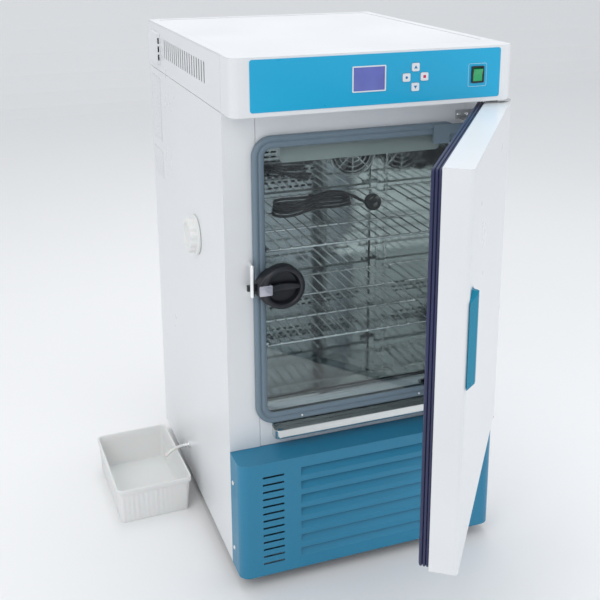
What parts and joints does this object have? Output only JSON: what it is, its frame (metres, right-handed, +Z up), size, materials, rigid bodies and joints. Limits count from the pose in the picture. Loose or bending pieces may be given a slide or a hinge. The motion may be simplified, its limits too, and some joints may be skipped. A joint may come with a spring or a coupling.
{
  "type": "laboratory incubator",
  "caption": "Upright cooled laboratory incubator with a solid outer door, an inner glass door with a turn latch, wire shelves, a louvred lower cover and a drip tray.",
  "frame": {"origin": "centre of the base frame's underside, on the floor", "axes": "+Z up, -Y out of the front where the doors are, +X to the right as seen from the front"},
  "size_m": [0.8159, 1.2183, 1.142],
  "materials": {
    "white_steel": "satin powder coat",
    "dark_steel": "satin",
    "zinc_steel": "zinc plated",
    "mirror_steel": "mirror-polished stainless",
    "foam": "cut foam",
    "frosted_plate": "satin",
    "chrome_wire": "bright chrome",
    "white_plastic": "satin moulded",
    "fin_aluminium": "thin fins",
    "panel_blue": "printed film",
    "white_gloss": "gloss",
    "screen": "backlit display",
    "board": "circuit board",
    "black_plastic": "satin moulded",
    "green_rocker": "translucent",
    "teal_steel": "satin powder coat",
    "silicone": "translucent",
    "clear_glass": "clear",
    "seal_blue": "soft extruded",
    "seal_navy": "soft extruded",
    "insert_silver": "satin",
    "teal_plastic": "moulded",
    "cord_black": "satin"
  },
  "bodies": {
    "cabinet": {"base_frame": "dark_steel", "side_panel_left": "white_steel", "side_panel_right": "white_steel", "back_panel": "zinc_steel", "front_frame": "white_steel", "chamber_liner": "mirror_steel", "insulation": "foam", "shelf_uprights": "mirror_steel", "duct_panel": "mirror_steel", "air_deflector": "frosted_plate", "fan_guard": "chrome_wire", "fan_motor": "zinc_steel", "evaporator": "fin_aluminium", "heater": "dark_steel", "port_tube": "white_plastic", "head_shell": "white_steel", "terminal_cover": "white_steel", "top_cover": "white_steel", "head_fascia": "white_steel", "control_overlay": "panel_blue", "display_bezel": "white_gloss", "display_screen": "screen", "controller_board": "board", "switch_bezel": "black_plastic", "lower_cover": "teal_steel", "cover_screws": "chrome_wire", "compressor": "dark_steel", "condenser": "fin_aluminium", "condenser_shroud": "zinc_steel", "latch_catch": "chrome_wire", "drip_gutter": "mirror_steel", "drain_stub": "chrome_wire", "drain_hose": "silicone", "power_inlet": "black_plastic", "glass_hinges": "zinc_steel", "door_hinges": "zinc_steel"},
    "outer_door": {"door_shell": "white_steel", "door_liner": "white_gloss", "door_foam": "foam", "door_seal": "seal_navy", "door_handle": "teal_plastic"},
    "glass_door": {"glass_pane": "clear_glass", "glass_seal": "seal_blue", "latch_base": "zinc_steel"},
    "latch": {"latch_knob": "black_plastic", "latch_insert": "insert_silver"},
    "air_fan": {"fan_wheel": "white_plastic"},
    "cooling_fan": {"condenser_fan": "black_plastic"},
    "key_up": {"button_up": "white_gloss"},
    "key_down": {"button_down": "white_gloss"},
    "key_left": {"button_left": "white_gloss"},
    "key_right": {"button_right": "white_gloss"},
    "rocker": {"switch_rocker": "green_rocker"},
    "cap": {"port_cap": "white_plastic"},
    "tray": {"drip_tray": "white_plastic"},
    "top_shelf": {"shelf_upper": "chrome_wire", "cord_hank": "cord_black", "cord_plug": "cord_black", "cord_connector": "cord_black"},
    "bottom_shelf": {"shelf_lower": "chrome_wire"}
  },
  "joints": [
    {"name": "outer_door_hinge", "type": "hinge", "parent": "cabinet", "child": "outer_door", "pos_m": [0.288, -0.394, 0.664], "axis": [0, 0, 1], "range_deg": [-53.5, 60]},
    {"name": "glass_door_hinge", "type": "hinge", "parent": "cabinet", "child": "glass_door", "pos_m": [0.226, -0.3565, 0.666], "axis": [0, 0, 1], "range_deg": [0, 45]},
    {"name": "latch_turn", "type": "hinge", "parent": "glass_door", "child": "latch", "pos_m": [-0.19, -0.37, 0.67], "axis": [0, 1, 0], "range_deg": [0, 90]},
    {"name": "air_fan_spin", "type": "hinge", "parent": "cabinet", "child": "air_fan", "pos_m": [0.15, 0.102, 0.82], "axis": [0, 1, 0], "continuous": true},
    {"name": "cooling_fan_spin", "type": "hinge", "parent": "cabinet", "child": "cooling_fan", "pos_m": [0, -0.258, 0.165], "axis": [0, 1, 0], "continuous": true},
    {"name": "press_up", "type": "slide", "parent": "cabinet", "child": "key_up", "axis": [0, 1, 0], "range_m": [0, 0.0008], "stiffness_N_per_m": 400},
    {"name": "press_down", "type": "slide", "parent": "cabinet", "child": "key_down", "axis": [0, 1, 0], "range_m": [0, 0.0008], "stiffness_N_per_m": 400},
    {"name": "press_left", "type": "slide", "parent": "cabinet", "child": "key_left", "axis": [0, 1, 0], "range_m": [0, 0.0008], "stiffness_N_per_m": 400},
    {"name": "press_right", "type": "slide", "parent": "cabinet", "child": "key_right", "axis": [0, 1, 0], "range_m": [0, 0.0008], "stiffness_N_per_m": 400},
    {"name": "rocker_tilt", "type": "hinge", "parent": "cabinet", "child": "rocker", "pos_m": [0.216, -0.404, 1.0855], "axis": [1, 0, 0], "range_deg": [-14, 0]},
    {"name": "port_cap_pull", "type": "slide", "parent": "cabinet", "child": "cap", "axis": [-1, 0, 0], "range_m": [0, 0.06]},
    {"name": "tray_slide", "type": "slide", "parent": "cabinet", "child": "tray", "axis": [-1, 0, 0], "range_m": [0, 0.15]},
    {"name": "top_shelf_slide", "type": "slide", "parent": "cabinet", "child": "top_shelf", "axis": [0, -1, 0], "range_m": [0, 0.02]},
    {"name": "bottom_shelf_slide", "type": "slide", "parent": "cabinet", "child": "bottom_shelf", "axis": [0, -1, 0], "range_m": [0, 0.02]}
  ]
}
